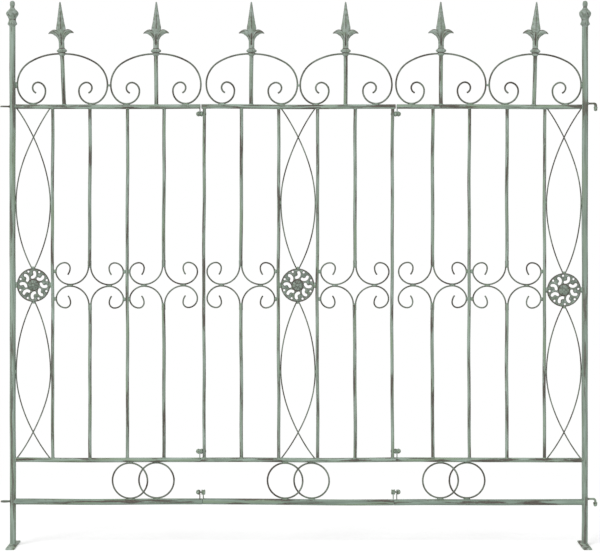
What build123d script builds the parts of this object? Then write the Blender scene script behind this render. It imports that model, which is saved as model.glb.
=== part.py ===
from build123d import *
import math
import os

# Garden fence: three welded sections bolted end to end between two posts.
# Millimetres. +X runs along the fence, -Y is the front, +Z is up.
# The origin is the middle of the left foot's underside.

# Posts, feet and levels above the ground
post_spacing = 1574
post_radius = 8
post_wall = 1.5
post_top = 1429
foot_width = 24
foot_length = 140
foot_thickness = 4
top_rail_z = 1209
lower_rail_z = 237
bottom_rail_z = 122
rail_radius = 5.75
bottom_rail_radius = 7.5
ornament_z = 718

# Upright bars, as distances either side of the fence's middle
middle = post_spacing / 2
plain_bar_radius = 4.25
split_bar_radius = 4.75
plain_bar_offsets = {"middle": [53.5], "side": [470, 676.5]}
split_bar_offsets = {"middle": [156.5], "side": [369.5, 573.5]}
end_bar_offset = 258.8

# Seams between the sections
seam_offset = 268.2
seam_gap = 3
lug_thickness = 2.5
lug_width = 12
bolt_radius = 2.5
bolt_hole_radius = 2.7
bolt_length = 27
top_bolt_drop = 20.5
lower_bolt_rise = 23.5
bottom_bolt_rise = 26
bottom_rail_end = 263.2

# Flats to a round, and how close a bent wire stays to its true arc
stock_flats = 12
small_flats = 8
ring_flats = 20
finial_flats = 16
facet_sag = 0.85

# Curved wires: thickness, then radius and turn of each tangent arc
arch_wire = 4.8
arch_arcs = [(157, 31), (72, 69), (53, 43), (35, 132), (23, 66), (15, 175)]
arch_start = 7.5
arch_offsets = {"middle": [129.5], "side": [391, 650]}
scroll_wire = 4.4
scroll_arcs = [(51.5, 87), (40.5, 67), (27.5, 28), (25, 87), (14.5, 92), (29.5, 37)]
scroll_start = 3
ring_wire = 4
ring_spacing = 73
ring_pair_offsets = {"middle": 0, "side": 427}
cross_wire = 3.6
cross_layer = 1.95
upper_bulge_z = top_rail_z - 264
lower_bulge_z = lower_rail_z + 243

# Spears: rod and cast head
rod_radius = 5.25
head_z = 1348
socket_radius = 8.5
spear_tip_z = 1497
blade_base_z = 1420
blade_half_width = 12.6
blade_half_depth = 6
blade_tip_share = 0.13
wing_span = 35.5
leaf_half_depth = 2.4
spear_leans = {"left": [0, -2.3], "middle": [0, 0], "right": [0, 1.6]}

# Medallions: a pierced casting of eight curled arms inside a rim
medallion_radius = 45.5
medallion_back = 2
medallion_front = -3
boss_radius = 16.5
boss_height = 5
arm_count = 8
knob_circle = 30.5
slot_radius = 9.1
slot_width = 8.3
slot_sweep = 112
slot_lean = 58
first_knob_angles = {"left": 9, "middle": 9, "right": -7}
small_hole_circle = 39.2
small_hole_radius = 3.4
small_hole_lag = 11
medallion_drops = {"left": 0, "middle": 0, "right": 13}

# Joining eyes on the left post and hooks on the right post
eye_radius = 13.2
eye_hole_radius = 9.2
eye_thickness = 4
eye_offset = 21
eye_levels = [top_rail_z, bottom_rail_z]
hook_radius = 2.5
hook_reach = 32.5
hook_bend = 6
hook_drop = 21.5
hook_levels = [top_rail_z + 8.5, bottom_rail_z + 8]

sections = ["left", "middle", "right"]
sides = {"left": -1, "right": 1}


def save(name, solids):
    """One file per node: several solids of a node never touch each other."""
    export_step(Compound(children=solids), f"parts/{name}.step")


def upright_tube(x, low, high, radius):
    return Pos(x, 0, low) * Cylinder(radius, high - low, align=(Align.CENTER, Align.CENTER, Align.MIN))


def upright_bar(x, low, high, radius):
    return Pos(x, 0, low) * extrude(RegularPolygon(radius, stock_flats), high - low)


def along_x(start, end, z, radius):
    return Pos(start, 0, z) * extrude(Plane.YZ * RegularPolygon(radius, stock_flats), end - start)


def turned(levels, flats):
    """Stack of tapers through (height, radius) levels."""
    bands = []
    for (low, low_radius), (high, high_radius) in zip(levels, levels[1:]):
        if high == low:
            continue
        shrink = (low_radius - high_radius) * math.cos(math.pi / flats)
        slope = math.degrees(math.atan2(shrink, high - low))
        bands.append(Pos(0, 0, low) * extrude(RegularPolygon(low_radius, flats), high - low, taper=slope))
    return bands[0].fuse(*bands[1:])


# Shapes that cope the ends of what is welded to them
top_rail_cut = along_x(-20, post_spacing + 20, top_rail_z, rail_radius)
lower_rail_cut = along_x(-20, post_spacing + 20, lower_rail_z, rail_radius)
bottom_rail_cut = along_x(-20, post_spacing + 20, bottom_rail_z, bottom_rail_radius)
post_cuts = {
    "left": upright_tube(0, 0, post_top, post_radius),
    "right": upright_tube(post_spacing, 0, post_top, post_radius),
}


def arc_stations(edge, radius, turn):
    """Places and directions along an arc, close enough for flats within facet_sag of it."""
    widest_turn = 2 * math.degrees(math.acos(1 - facet_sag / radius))
    count = math.ceil(turn / widest_turn)
    return [(edge @ (i / count), edge % (i / count)) for i in range(count + 1)]


def tangent_arcs(start, heading, arcs, turn_sign):
    """Stations of a chain of arcs in the XY plane, each leaving in the direction the last one ended."""
    stations = [(Vector(*start), Vector(*heading))]
    for radius, turn in arcs:
        point, direction = stations[-1]
        edge = JernArc(point, direction, radius, turn_sign * turn)
        stations += arc_stations(edge, radius, turn)[1:]
    return stations


def strip(stations, width):
    """Flat strip of even width along the stations."""
    rims = [[], []]
    for point, direction in stations:
        across = direction.rotate(Axis.Z, 90) * (width / 2)
        rims[0].append(point + across)
        rims[1].insert(0, point - across)
    return make_face(Polyline(*rims[0], *rims[1], close=True))


def square_wire(stations, side):
    """Square wire bent along stations in the XY plane, stood up so that Y becomes Z."""
    return Plane.XZ * extrude(strip(stations, side), side / 2, both=True)


def section_values(table, section):
    """Distances from the fence's middle, with their sign, for one section's pieces."""
    if section == "middle":
        return [sign * value for value in table["middle"] for sign in (-1, 1)]
    return [sides[section] * value for value in table["side"]]


# Posts with feet, finials, eyes and hooks
def make_post(side):
    x = 0 if side == "left" else post_spacing
    outer = upright_tube(x, foot_thickness, post_top, post_radius)
    inner = upright_tube(x, foot_thickness, post_top, post_radius - post_wall)
    return outer - inner


def make_foot(x):
    plate = chamfer(Rectangle(foot_width, foot_length).vertices(), 3)
    return Pos(x, 0, 0) * extrude(plate, foot_thickness)


def make_finial(x):
    """Turned bud and knob, with a spigot that fills the top of the post."""
    spigot_radius = post_radius - post_wall - 0.1
    levels = [
        (-18, spigot_radius), (0, spigot_radius), (0, post_radius + 0.4), (9.5, 12.3), (13, 10.2),
        (21, 12), (29, 17), (36.5, 17), (44, 12), (53, 5.6), (56.5, 6.7), (65.5, 6.7), (71, 3.5),
    ]
    return Pos(x, 0, post_top) * turned(levels, finial_flats)


def make_eye(z):
    disc = extrude(RegularPolygon(eye_radius, finial_flats), eye_thickness / 2, both=True)
    return Pos(-eye_offset, 0, z) * (disc - Cylinder(eye_hole_radius, eye_thickness)) - post_cuts["left"]


def make_hook(z):
    """Arm out of the post, mitred twice into a pin that points down."""
    x, far_x = post_spacing, post_spacing + hook_reach
    pin_top = z - hook_bend - 2
    path = Polyline((x, 0, z), (far_x - hook_bend, 0, z), (far_x, 0, z - hook_bend), (far_x, 0, pin_top))
    section = Plane(origin=(x, 0, z), z_dir=(1, 0, 0)) * RegularPolygon(hook_radius, small_flats)
    arm = sweep(section, path, transition=Transition.RIGHT)
    pin = upright_tube(far_x, z - hook_drop, pin_top, hook_radius)
    return arm + pin - post_cuts["right"]


# Rails with bolt lugs at the seams
def rail_spans(outer_end, inner_end):
    """Where each section's rail starts and ends along X."""
    return {
        "left": (0, middle - outer_end),
        "middle": (middle - inner_end, middle + inner_end),
        "right": (middle + outer_end, post_spacing),
    }


def make_rail(section, spans, z, radius):
    start, end = spans[section]
    rail = along_x(start, end, z, radius)
    if section in post_cuts:
        rail -= post_cuts[section]
    return rail


def make_lug(x, rail_z, rail_cut, bolt_z):
    """Flat lug standing on or hanging from a rail, rounded about its bolt hole."""
    low, high = min(rail_z, bolt_z), max(rail_z, bolt_z)
    plate = Pos(0, (low + high) / 2) * Rectangle(lug_width, high - low)
    plate += Pos(0, bolt_z) * Rot(0, 0, 180 / small_flats) * RegularPolygon(lug_width / 2, small_flats, False)
    plate -= Pos(0, bolt_z) * RegularPolygon(bolt_hole_radius, small_flats)
    return Pos(x, 0, 0) * extrude(Plane.YZ * plate, lug_thickness / 2, both=True) - rail_cut


# Upright bars
def make_plain_bar(x):
    bar = upright_bar(x, lower_rail_z, top_rail_z, plain_bar_radius)
    return bar - top_rail_cut - lower_rail_cut


def make_end_bar(x):
    bar = make_plain_bar(x)
    for z in (top_rail_z - top_bolt_drop, lower_rail_z + lower_bolt_rise):
        bar -= Pos(x, 0, z) * extrude(Plane.YZ * RegularPolygon(bolt_hole_radius, small_flats), 10, both=True)
    return bar


# Scrolls that open out from the ends of the split bars
scroll_bend = square_wire(tangent_arcs((scroll_start, 0), (0, -1), scroll_arcs, 1), scroll_wire)
scroll_end_height = 0.1 - scroll_bend.bounding_box().min.Z
right_upper_scroll = Pos(0, 0, scroll_end_height) * scroll_bend


def make_split_bar(x, half):
    """Upper or lower end of a split bar, from the rail to where its scrolls leave it."""
    if half == 1:
        return upright_bar(x, ornament_z + scroll_end_height, top_rail_z, split_bar_radius) - top_rail_cut
    return upright_bar(x, lower_rail_z, ornament_z - scroll_end_height, split_bar_radius) - lower_rail_cut


def make_scroll(x, hand, half):
    scroll = right_upper_scroll
    if hand == -1:
        scroll = mirror(scroll, Plane.YZ)
    if half == -1:
        scroll = mirror(scroll, Plane.XY)
    return Pos(x, 0, ornament_z) * scroll


# Arches: each half is one wire that ends in a curl on the top rail
arch_bend = square_wire(tangent_arcs((arch_start, 0), (1, 0), arch_arcs, -1), arch_wire)
arch_apex = rail_radius + 0.05 - arch_bend.bounding_box().min.Z
right_half_arch = Pos(0, 0, arch_apex) * arch_bend


def make_half_arch(x, hand, socket):
    half = right_half_arch if hand == 1 else mirror(right_half_arch, Plane.YZ)
    return Pos(x, 0, top_rail_z) * half - socket


# Spears
def leaning(x, angle, shape):
    """Shape drawn on the Z axis, tilted about the height where the arches meet the spear."""
    return Pos(x, 0, head_z) * Rot(0, angle, 0) * Pos(0, 0, -head_z) * shape


def make_spear_rod(x, angle):
    return leaning(x, angle, upright_bar(0, top_rail_z, head_z, rod_radius)) - top_rail_cut


def make_spear_head():
    """Cast head: socket, leafy crown, throat, two drooping leaves and a ridged blade."""
    levels = [(head_z, 8.5), (1358, 8.5), (1363, 13), (1366, 10.8), (1373, 7)]
    crown = turned(levels, small_flats)
    throat_outline = Polyline((8.4, 0), (0, 6.4), (-8.4, 0), (0, -6.4), close=True)
    throat = Pos(0, 0, 1371) * extrude(make_face(throat_outline), blade_base_z - 1371)
    blade_outline = Polyline(
        (blade_half_width, 0), (0, blade_half_depth), (-blade_half_width, 0), (0, -blade_half_depth), close=True
    )
    edge_distance = blade_half_width * blade_half_depth / math.hypot(blade_half_width, blade_half_depth)
    blade_length = spear_tip_z - blade_base_z
    blade_taper = math.degrees(math.atan2(edge_distance * (1 - blade_tip_share), blade_length))
    blade = Pos(0, 0, blade_base_z) * extrude(make_face(blade_outline), blade_length, taper=blade_taper)
    leaf_half = [(4, 1384), (13, 1402), (24, 1409), (wing_span, 1407.5), (wing_span, 1410.5), (25, 1419), (12.6, 1424)]
    mirrored = [(-x, z) for x, z in reversed(leaf_half)]
    leaves = make_face(Polyline(*leaf_half, *mirrored, close=True))
    return crown + throat + blade + Plane.XZ * extrude(leaves, leaf_half_depth, both=True)


# Crossed wires above and below each medallion
def make_cross_wire(bay_x, half_clear, bulge_z, corner_z, tip, hand, rail_cut, rim):
    """One bowed wire from a corner, over its twin, round the bulge at the bar, to the medallion."""
    bulge_x = half_clear - cross_wire / 2 - 0.1
    halves = []
    for across, z in ((half_clear - 1.7 + bulge_x, corner_z), (bulge_x - 2.2, tip)):
        rise = z - bulge_z
        radius = (across**2 + rise**2) / (2 * across)
        turn = math.degrees(2 * math.atan(across / abs(rise)))
        upward = math.copysign(1, rise)
        halves.append(tangent_arcs((bulge_x, bulge_z), (0, upward), [(radius, turn)], upward))
    corner_half = [(point, -direction) for point, direction in reversed(halves[0])]
    wire = square_wire(corner_half + halves[1][1:], cross_wire)
    if hand == -1:
        wire = mirror(wire, Plane.YZ)
    return Pos(bay_x, hand * cross_layer, 0) * wire - rail_cut - rim


# Medallion
def make_medallion(bay_x, z, half_clear, first_angle, neighbours):
    disc = Circle(medallion_radius)
    for index in range(arm_count):
        angle = first_angle + index * 360 / arm_count
        knob = Rot(0, 0, angle) * Pos(knob_circle, 0)
        start = 180 + slot_lean - slot_sweep / 2
        slot_path = CenterArc((0, 0), slot_radius, start, slot_sweep)
        disc -= knob * strip(arc_stations(slot_path, slot_radius, slot_sweep), slot_width)
        hole = Rot(0, 0, angle + small_hole_lag) * Pos(small_hole_circle, 0)
        disc -= hole * RegularPolygon(small_hole_radius, 3)
    thickness = medallion_back - medallion_front
    body = Plane.XZ.offset(-medallion_back) * extrude(disc, thickness)
    dome = turned([(0, boss_radius), (2.5, boss_radius - 2), (boss_height, boss_radius / 2)], stock_flats)
    dome = Pos(0, medallion_front, 0) * Rot(90, 0, 0) * dome
    weld_bar = Box(2 * half_clear + 4, 4.5, 15)
    weld_bar -= Rot(90, 0, 0) * Cylinder(medallion_radius - 1, 20)
    piece = Pos(bay_x, 0, z) * (body + dome + weld_bar)
    for neighbour in neighbours:
        piece -= neighbour
    return piece


# Rings between the two lower rails
def make_ring(x, layer):
    low = bottom_rail_z + bottom_rail_radius
    high = lower_rail_z - rail_radius
    outer = (high - low) / 2 - 0.05
    face = RegularPolygon(outer, ring_flats) - RegularPolygon(outer - ring_wire, ring_flats)
    ring = Plane.XZ * extrude(face, ring_wire / 2, both=True)
    return Pos(x, layer * (ring_wire / 2 + 0.1), (low + high) / 2) * ring


# Bolts along X at the seams
def make_bolt(hand, head_x, z):
    """Hexagon head on the inner side, shank pointing away from the fence's middle."""
    head = extrude(RegularPolygon(4.6, 6), -3)
    shank = extrude(RegularPolygon(bolt_radius, small_flats), bolt_length)
    bolt = Plane.YZ * (head + shank)
    if hand == -1:
        bolt = mirror(bolt, Plane.YZ)
    return Pos(middle + hand * head_x, 0, z) * bolt


os.makedirs("parts", exist_ok=True)

# Posts
for side in sides:
    save(f"{side}_post", [make_post(side)])
save("feet", [make_foot(x) for x in (0, post_spacing)])
save("finials", [make_finial(x) for x in (0, post_spacing)])
save("left_eyes", [make_eye(z) for z in eye_levels])
save("right_hooks", [make_hook(z) for z in hook_levels])

# Rails
upper_spans = rail_spans(seam_offset + seam_gap / 2, seam_offset - seam_gap / 2)
bottom_spans = rail_spans(bottom_rail_end + 0.6, bottom_rail_end - 0.6)
for section in sections:
    save(f"{section}_top_rail", [make_rail(section, upper_spans, top_rail_z, rail_radius)])
    save(f"{section}_lower_rail", [make_rail(section, upper_spans, lower_rail_z, rail_radius)])
    save(f"{section}_bottom_rail", [make_rail(section, bottom_spans, bottom_rail_z, bottom_rail_radius)])

# Seams
outer_lug_offset = seam_offset + seam_gap / 2 + lug_thickness / 2
inner_lug_offset = bottom_rail_end - 0.6 - lug_thickness / 2
bolt_levels = {
    "top": top_rail_z - top_bolt_drop,
    "lower": lower_rail_z + lower_bolt_rise,
    "bottom": bottom_rail_z + bottom_bolt_rise,
}
end_bar_seat = end_bar_offset - plain_bar_radius
lug_seat = inner_lug_offset - lug_thickness / 2
lugs, bolts = [], []
for hand in (-1, 1):
    outer_x = middle + hand * outer_lug_offset
    lugs += [
        make_lug(outer_x, top_rail_z, top_rail_cut, bolt_levels["top"]),
        make_lug(outer_x, lower_rail_z, lower_rail_cut, bolt_levels["lower"]),
        make_lug(outer_x, bottom_rail_z, bottom_rail_cut, bolt_levels["bottom"]),
        make_lug(middle + hand * inner_lug_offset, bottom_rail_z, bottom_rail_cut, bolt_levels["bottom"]),
    ]
    bolts += [
        make_bolt(hand, end_bar_seat, bolt_levels["top"]),
        make_bolt(hand, end_bar_seat, bolt_levels["lower"]),
        make_bolt(hand, lug_seat, bolt_levels["bottom"]),
    ]
save("seam_lugs", lugs)
save("seam_bolts", bolts)

# Bars and scrolls
save("middle_end_bars", [make_end_bar(middle + hand * end_bar_offset) for hand in (-1, 1)])
for section in sections:
    plain = [middle + offset for offset in section_values(plain_bar_offsets, section)]
    split = [middle + offset for offset in section_values(split_bar_offsets, section)]
    save(f"{section}_plain_bars", [make_plain_bar(x) for x in plain])
    save(f"{section}_split_bars", [make_split_bar(x, half) for x in split for half in (1, -1)])
    for half, level in ((1, "upper"), (-1, "lower")):
        save(f"{section}_{level}_scrolls", [make_scroll(x, hand, half) for x in split for hand in (-1, 1)])

# Arches and spears
spear_head = make_spear_head()
for section in sections:
    centres = [middle + offset for offset in section_values(arch_offsets, section)]
    rods, heads, arches = [], [], []
    for x, angle in zip(centres, spear_leans[section]):
        socket = leaning(x, angle, upright_bar(0, head_z - 12, head_z + 12, socket_radius))
        rods.append(make_spear_rod(x, angle))
        heads.append(leaning(x, angle, spear_head))
        arches += [make_half_arch(x, hand, socket) for hand in (-1, 1)]
    save(f"{section}_spear_rods", rods)
    save(f"{section}_spear_heads", heads)
    save(f"{section}_arches", arches)

# Medallions, their wires, and the rings below
inner_offset, outer_offset = plain_bar_offsets["middle"][0], plain_bar_offsets["side"][1]
bay_bars = {
    "left": [middle - outer_offset],
    "middle": [middle - inner_offset, middle + inner_offset],
    "right": [middle + outer_offset],
}
bays = {
    "left": (post_radius, middle - outer_offset - plain_bar_radius),
    "middle": (middle - inner_offset + plain_bar_radius, middle + inner_offset - plain_bar_radius),
    "right": (middle + outer_offset + plain_bar_radius, post_spacing - post_radius),
}
medallions, rings = [], []
for section in sections:
    low_x, high_x = bays[section]
    bay_x, half_clear = (low_x + high_x) / 2, (high_x - low_x) / 2
    medallion_z = ornament_z - medallion_drops[section]
    rim = Pos(bay_x, 0, medallion_z) * Rot(90, 0, 0) * Cylinder(medallion_radius, 20)
    wires = []
    for hand in (-1, 1):
        top_tip = medallion_z + medallion_radius - 1
        low_tip = medallion_z - medallion_radius + 1
        wires.append(make_cross_wire(
            bay_x, half_clear, upper_bulge_z, top_rail_z - 4, top_tip, hand, top_rail_cut, rim
        ))
        wires.append(make_cross_wire(
            bay_x, half_clear, lower_bulge_z, lower_rail_z + 4, low_tip, hand, lower_rail_cut, rim
        ))
    save(f"{section}_crossed_wires", wires)
    neighbours = [post_cuts[section]] if section in post_cuts else []
    for bar_x in bay_bars[section]:
        neighbours.append(upright_bar(bar_x, lower_rail_z, top_rail_z, plain_bar_radius))
    first_angle = first_knob_angles[section]
    medallions.append(make_medallion(bay_x, medallion_z, half_clear, first_angle, neighbours))
    pair_x = middle + sides.get(section, 0) * ring_pair_offsets["side"]
    rings += [make_ring(pair_x + layer * ring_spacing / 2, layer) for layer in (-1, 1)]
save("medallions", medallions)
save("rings", rings)
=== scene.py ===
import bpy
import numpy as np
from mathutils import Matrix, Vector
from numpy import array, concatenate, cos, hypot, linspace, pi, radians, sign, sin


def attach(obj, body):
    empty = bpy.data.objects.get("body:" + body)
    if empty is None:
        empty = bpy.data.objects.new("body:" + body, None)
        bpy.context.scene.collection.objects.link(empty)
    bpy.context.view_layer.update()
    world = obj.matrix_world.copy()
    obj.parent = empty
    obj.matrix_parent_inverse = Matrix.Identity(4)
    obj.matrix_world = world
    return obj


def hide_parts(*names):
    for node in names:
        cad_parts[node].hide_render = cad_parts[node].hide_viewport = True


# Garden fence. Shapes are worked out in millimetres and put into the meshes in metres.
# X runs along the fence, -Y is the front, Z is up, and the left post stands on the origin.
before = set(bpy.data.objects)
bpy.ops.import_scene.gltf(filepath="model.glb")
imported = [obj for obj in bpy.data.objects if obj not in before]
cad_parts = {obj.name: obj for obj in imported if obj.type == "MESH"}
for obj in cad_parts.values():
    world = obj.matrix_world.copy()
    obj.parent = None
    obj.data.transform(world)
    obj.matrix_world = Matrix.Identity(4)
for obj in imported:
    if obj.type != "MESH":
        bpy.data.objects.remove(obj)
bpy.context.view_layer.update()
print("frame loaded")

# Camera.
camera = {
    "photoMiddle": (790.4, 742),   # place on the fence at the middle of the photo, X and Z in mm
    "photoWidth": 1650,            # width of the fence's plane that the photo covers, mm
    "distance": 6000,
    "eyeHeight": 1000,
    "shift": -0.13,
    "sensorWidth": 36,
}


def makeCamera(c):
    data = bpy.data.cameras.new("photoCamera")
    eye = bpy.data.objects.new("photoCamera", data)
    bpy.context.collection.objects.link(eye)
    data.sensor_width = c["sensorWidth"]
    data.lens = c["sensorWidth"] * c["distance"] / c["photoWidth"]
    data.shift_y = c["shift"]
    aimX, aimZ = c["photoMiddle"]
    aimZ = aimZ - c["shift"] * c["photoWidth"]      # the shift lifts the aim above the photo's middle
    eye.location = Vector((aimX, -c["distance"], c["eyeHeight"])) / 1000
    gaze = Vector((0, c["distance"], aimZ - c["eyeHeight"]))
    eye.rotation_euler = gaze.to_track_quat("-Z", "Y").to_euler()
    bpy.context.scene.camera = eye


makeCamera(camera)
bpy.context.scene.view_settings.view_transform = "Standard"


# Measures used by all shapes.
def bell(value, middle, width):
    # 1 at the middle and falling off on both sides: exp(-((value - middle) / width)^2).
    return np.exp(-((value - middle) / width) ** 2)


def ramp(value, start, end):
    # 0 at the start and 1 at the end, held there beyond.
    return np.clip((value - start) / (end - start), 0, 1)


def largest(*values):
    return np.maximum.reduce(np.broadcast_arrays(*values))


def pointsAt(x, y, z):
    # Points from their coordinates, any of which may be one number for all of them.
    return np.stack(np.broadcast_arrays(x, y, z), axis=-1).astype(float)


def turn(sides):
    return np.arange(sides) * 2 * pi / sides


def unit(vectors):
    return vectors / np.linalg.norm(vectors, axis=1)[:, None]


def runLength(path):
    # How far along the path each of its points is.
    return concatenate([[0], np.cumsum(np.linalg.norm(np.diff(path, axis=0), axis=1))])


def tilt(points, degrees, pivot):
    # Turns points about the Y axis at the pivot height; a positive angle leans to the right.
    a = radians(degrees)
    x, z = points[..., 0], points[..., 2] - pivot
    return pointsAt(x * cos(a) + z * sin(a), points[..., 1], z * cos(a) - x * sin(a) + pivot)


def lumps(points, size):
    # Between -1 and 1: products of sine waves of the place, their lumps about size mm across.
    x, y, z = (points[..., i] / size for i in range(3))
    return (sin(2.1 * x + 1.7 * z) * sin(1.3 * z - 2.3 * y + 0.7)
            + sin(3.1 * z + 1.9 * y + 1.1) * sin(2.7 * x - 0.9 * y)) / 2


def settle(points):
    # Hand work is never quite true. X and Z drift by up to 0.9 mm and Y by up to 1.3 mm, each a sum
    # of two slow sine waves of the place, and the drift fades out near the ends, feet and tips.
    # Between the posts everything also stands up to 2.6 mm to the left, most of all halfway up.
    x, z = points[:, 0], points[:, 2]
    fade = ramp(z, 0, 80) * ramp(z, 1500, 1440)
    fadeX = fade * ramp(x, -34, 26) * ramp(x, 1609, 1549)
    aside = sin(pi * ramp(x, 20, 1554)) ** 0.7 * (0.8 + 1.8 * sin(pi * ramp(z, 150, 1210)))
    driftX = fadeX * (0.5 * sin(z / 83 + x / 260) + 0.4 * sin(z / 37 + x / 91 + 1.3))
    driftY = fade * (0.9 * sin(x / 147 + 0.4) * cos(z / 310) + 0.4 * sin(z / 171 + x / 97))
    driftZ = fade * (0.6 * sin(x / 95 + 2.1) + 0.3 * sin(z / 120 + x / 57))
    return points + pointsAt(driftX - aside, driftY, driftZ)


# Surfaces.
def gridPart(points, flow=None, closedRows=False):
    # A part from a grid of points, rows by columns. Its columns go round; its rows go round too, or
    # else each end gets a flat cap. Its flow is the place itself where none is given.
    rows, columns = points.shape[:2]
    r = np.arange(rows if closedRows else rows - 1)[:, None]
    c = np.arange(columns)[None, :]
    here, below, nextColumn = r * columns, (r + 1) % rows * columns, (c + 1) % columns
    corners = (here + c, here + nextColumn, below + nextColumn, below + c)
    around = np.arange(columns)
    return {
        "points": points.reshape(-1, 3),
        "flow": (points if flow is None else flow).reshape(-1, 3),
        "quads": np.stack(np.broadcast_arrays(*corners), axis=-1).reshape(-1, 4),
        "caps": [] if closedRows else [around[::-1], (rows - 1) * columns + around],
    }


def insideOut(part):
    # The part with its faces turned round, for a mirrored shape.
    return part | {"quads": part["quads"][:, ::-1], "caps": [cap[::-1] for cap in part["caps"]]}


def carryRound(path, radius, sides, across=(0, 1, 0), closed=False, deep=1.0, blunt=0.5, offset=0.0):
    # A circle carried along a flat path: P(s, t) = C(s) + r(s) (cos t N(s) + deep sin t B), where B is
    # square to the path's plane and N square to the path in it. Open ends get a dome of blunt times r.
    # The offset moves the flow, so that no two parts have the same patches.
    radius = np.broadcast_to(radius, path.shape[:1])
    if closed:
        along = unit(np.roll(path, -1, 0) - np.roll(path, 1, 0))
    else:
        along = unit(np.gradient(path, axis=0))
        a = radians([88, 60, 30])
        startDome = path[0] - along[0] * (blunt * radius[0] * sin(a))[:, None]
        endDome = path[-1] + along[-1] * (blunt * radius[-1] * sin(a[::-1]))[:, None]
        path = concatenate([startDome, path, endDome])
        radius = concatenate([radius[0] * cos(a), radius, radius[-1] * cos(a[::-1])])
        along = concatenate([along[[0, 0, 0]], along, along[[-1, -1, -1]]])
    t = turn(sides)
    n = np.cross(across, along)
    ring = cos(t)[:, None] * n[:, None] + deep * sin(t)[:, None] * array(across)
    run = runLength(path)[:, None] + offset
    flow = pointsAt(run, radius[:, None] * cos(t) + offset, radius[:, None] * sin(t))
    return gridPart(path[:, None] + radius[:, None, None] * ring, flow, closed)


def smoothLevels(marks, step):
    # Levels every step mm along a profile through the marks: a curve that eases from mark to mark.
    marks = array(marks, float)
    run = runLength(marks)
    s = linspace(0, run[-1], int(run[-1] / step))
    slope = np.gradient(marks, run, axis=0)
    i = np.clip(np.searchsorted(run, s, side="right") - 1, 0, len(run) - 2)
    h = (run[i + 1] - run[i])[:, None]
    u = (s - run[i])[:, None] / h
    return ((2 * u**3 - 3 * u**2 + 1) * marks[i] + (u**3 - 2 * u**2 + u) * h * slope[i]
            + (3 * u**2 - 2 * u**3) * marks[i + 1] + (u**3 - u**2) * h * slope[i + 1])


def bead(centre, size):
    # A lumpy weld bead: an ellipsoid (a cos v cos t, b cos v sin t, c sin v) whose size swells and
    # shrinks by an eighth with the place.
    v = radians(linspace(-82, 82, 7))[:, None]
    t = turn(12)
    reach = pointsAt(cos(v) * cos(t), cos(v) * sin(t), sin(v)) * size
    swell = 1 + 0.13 * lumps(centre + reach, 2.6)
    return gridPart(centre + reach * swell[..., None])


joints = []                      # every welded or bolted place, where paint wears first
creaseAngle = 50                 # degrees between two faces whose edge stays sharp


def makePiece(name, parts, paint, replaced=(), wearReach=14):
    # Joins the parts into one mesh. Its attribute of wear and painted shade is 1 at a joint and falls off
    # with distance, or is the painted shade that the part itself gives for its hollows, whichever is more.
    points = concatenate([p["points"] for p in parts])
    flow = concatenate([p["flow"] for p in parts])
    starts = np.cumsum([0] + [len(p["points"]) for p in parts[:-1]])
    quads = concatenate([p["quads"] + s for p, s in zip(parts, starts)])
    caps = [cap + s for p, s in zip(parts, starts) for cap in p["caps"]]
    wearAndShade = concatenate([p.get("paintedShade", np.zeros(len(p["points"]))) for p in parts])
    for spot in joints if wearReach else ():
        near = np.exp(-((points - spot) ** 2).sum(1) / (2 * wearReach**2))
        wearAndShade = np.maximum(wearAndShade, near)
    loops = concatenate([quads.ravel()] + caps)
    totals = array([4] * len(quads) + [len(cap) for cap in caps])
    mesh = bpy.data.meshes.new(name)
    mesh.vertices.add(len(points))
    mesh.vertices.foreach_set("co", (settle(points) / 1000).ravel())
    mesh.loops.add(len(loops))
    mesh.loops.foreach_set("vertex_index", loops)
    mesh.polygons.add(len(totals))
    mesh.polygons.foreach_set("loop_start", concatenate([[0], np.cumsum(totals)[:-1]]))
    mesh.polygons.foreach_set("loop_total", totals)
    mesh.update(calc_edges=True)
    mesh.validate()
    mesh.polygons.foreach_set("use_smooth", np.full(len(mesh.polygons), True))
    mesh.set_sharp_from_angle(angle=radians(creaseAngle))
    mesh.attributes.new("flow", "FLOAT_VECTOR", "POINT").data.foreach_set("vector", (flow / 1000).ravel())
    mesh.attributes.new("wearAndShade", "FLOAT", "POINT").data.foreach_set("value", wearAndShade)
    mesh.materials.append(paints[paint])
    piece = bpy.data.objects.new(name, mesh)
    bpy.context.collection.objects.link(piece)
    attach(piece, "root")
    if replaced:
        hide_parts(*replaced)
    print(name, len(points), "points")


# Materials.
def linear(hexColour):
    # sRGB hex to the linear values that the shader takes
    v = array([int(hexColour[i:i + 2], 16) for i in (1, 3, 5)]) / 255
    return (*np.where(v <= 0.04045, v / 12.92, ((v + 0.055) / 1.055) ** 2.4), 1)


def addNode(tree, kind, values=()):
    # A shader node. Each value is another node's output to link from, an input's own value, or a
    # property of the node.
    made = tree.nodes.new("ShaderNode" + kind)
    for key, value in dict(values).items():
        if isinstance(value, bpy.types.NodeSocket):
            tree.links.new(value, made.inputs[key])
        elif isinstance(key, int) or key in made.inputs:
            made.inputs[key].default_value = value
        else:
            setattr(made, key, value)
    return made


def calculate(tree, operation, *values, kind="Math"):
    return addNode(tree, kind, {"operation": operation} | dict(enumerate(values))).outputs[0]


def noise(tree, place, scale, detail, roughness):
    values = {"Vector": place, "Scale": scale, "Detail": detail, "Roughness": roughness}
    return addNode(tree, "TexNoise", values).outputs[0]


def smoothStep(tree, value, low, high, top=1.0):
    values = {"interpolation_type": "SMOOTHSTEP", 0: value, 1: low, 2: high, 4: top}
    return addNode(tree, "MapRange", values).outputs[0]


def colourMix(tree, share, first, second):
    return addNode(tree, "Mix", {"data_type": "RGBA", 0: share, 6: first, 7: second}).outputs[2]


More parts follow.
